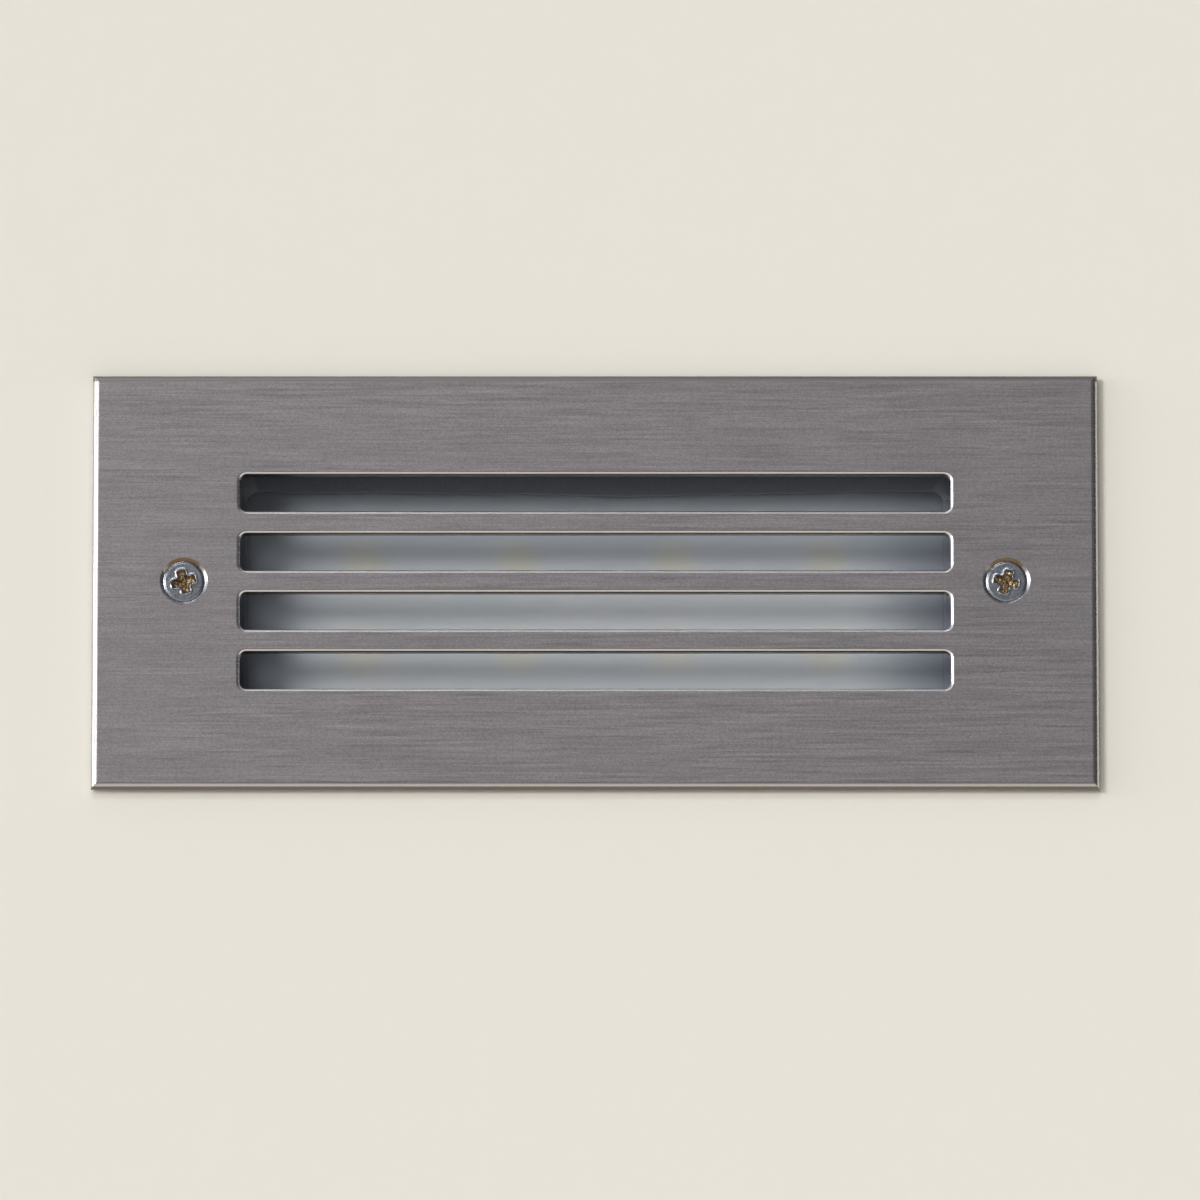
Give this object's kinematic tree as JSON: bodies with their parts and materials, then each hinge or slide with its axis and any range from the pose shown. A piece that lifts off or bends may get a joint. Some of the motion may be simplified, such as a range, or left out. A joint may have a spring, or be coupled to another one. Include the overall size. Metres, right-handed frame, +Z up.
{
  "type": "recessed step light",
  "caption": "Rectangular recessed wall light with a louvred metal faceplate over a frosted glass, for lighting steps and paths.",
  "frame": {"origin": "centre of the faceplate, on the surface of the wall that the light is let into", "axes": "+X along the faceplate to the right as seen from the front, +Y into the wall, +Z up"},
  "size_m": [0.23, 0.085, 0.0966],
  "materials": {
    "faceplate": "fine straight brushing along the plate",
    "face_screws": "turned and plated, worn round the cross recess",
    "washer_nylon": "natural nylon",
    "gasket_foam": "closed-cell foam",
    "frame_grey": "satin grey powder coat",
    "steel_zinc": "bright zinc plate",
    "seal_silicone": "grey silicone",
    "glass_frosted": "etched on both faces",
    "body_aluminium": "as cast, lightly blasted",
    "reflector_white": "white moulded",
    "board_white": "white solder mask",
    "pad_grey": "soft heat pad",
    "chip_white": "white package",
    "phosphor_yellow": "cast yellow filling",
    "connector_white": "moulded",
    "grommet_rubber": "moulded",
    "insulation_red": "extruded insulation",
    "insulation_black": "extruded insulation",
    "insulation_brown": "extruded insulation",
    "insulation_blue": "extruded insulation",
    "block_natural": "moulded nylon",
    "brass_bright": "turned",
    "driver_black": "fine spark texture",
    "potting_grey": "cast resin",
    "box_plastic": "moulded, fine spark texture",
    "gland_plastic": "moulded polyamide"
  },
  "bodies": {
    "root": {"faceplate": "faceplate", "face_screws": "face_screws", "screw_retaining_washers": "washer_nylon", "faceplate_gasket": "gasket_foam", "glass_clamp_frame": "frame_grey", "clamp_screws": "steel_zinc", "glass_seal": "seal_silicone", "glass_diffuser": "glass_frosted", "lamp_body": "body_aluminium", "thermal_pad": "pad_grey", "led_board": "board_white", "led_chips": "chip_white", "led_phosphors": "phosphor_yellow", "reflector_tray": "reflector_white", "board_screws": "steel_zinc", "board_connector": "connector_white", "lead_grommet": "grommet_rubber", "lead_red": "insulation_red", "lead_black": "insulation_black", "terminal_block": "block_natural", "terminal_clamps": "brass_bright", "terminal_screws": "steel_zinc", "block_screws": "steel_zinc", "supply_lead_live": "insulation_brown", "supply_lead_neutral": "insulation_blue", "driver_case": "driver_black", "driver_potting": "potting_grey", "driver_lid": "driver_black", "driver_screws": "steel_zinc", "recess_box": "box_plastic", "threaded_inserts": "brass_bright", "gland_body": "gland_plastic", "gland_washer": "grommet_rubber", "gland_locknut": "gland_plastic", "gland_bush": "grommet_rubber", "gland_nut": "gland_plastic", "entry_plug": "grommet_rubber"}
  },
  "joints": []
}
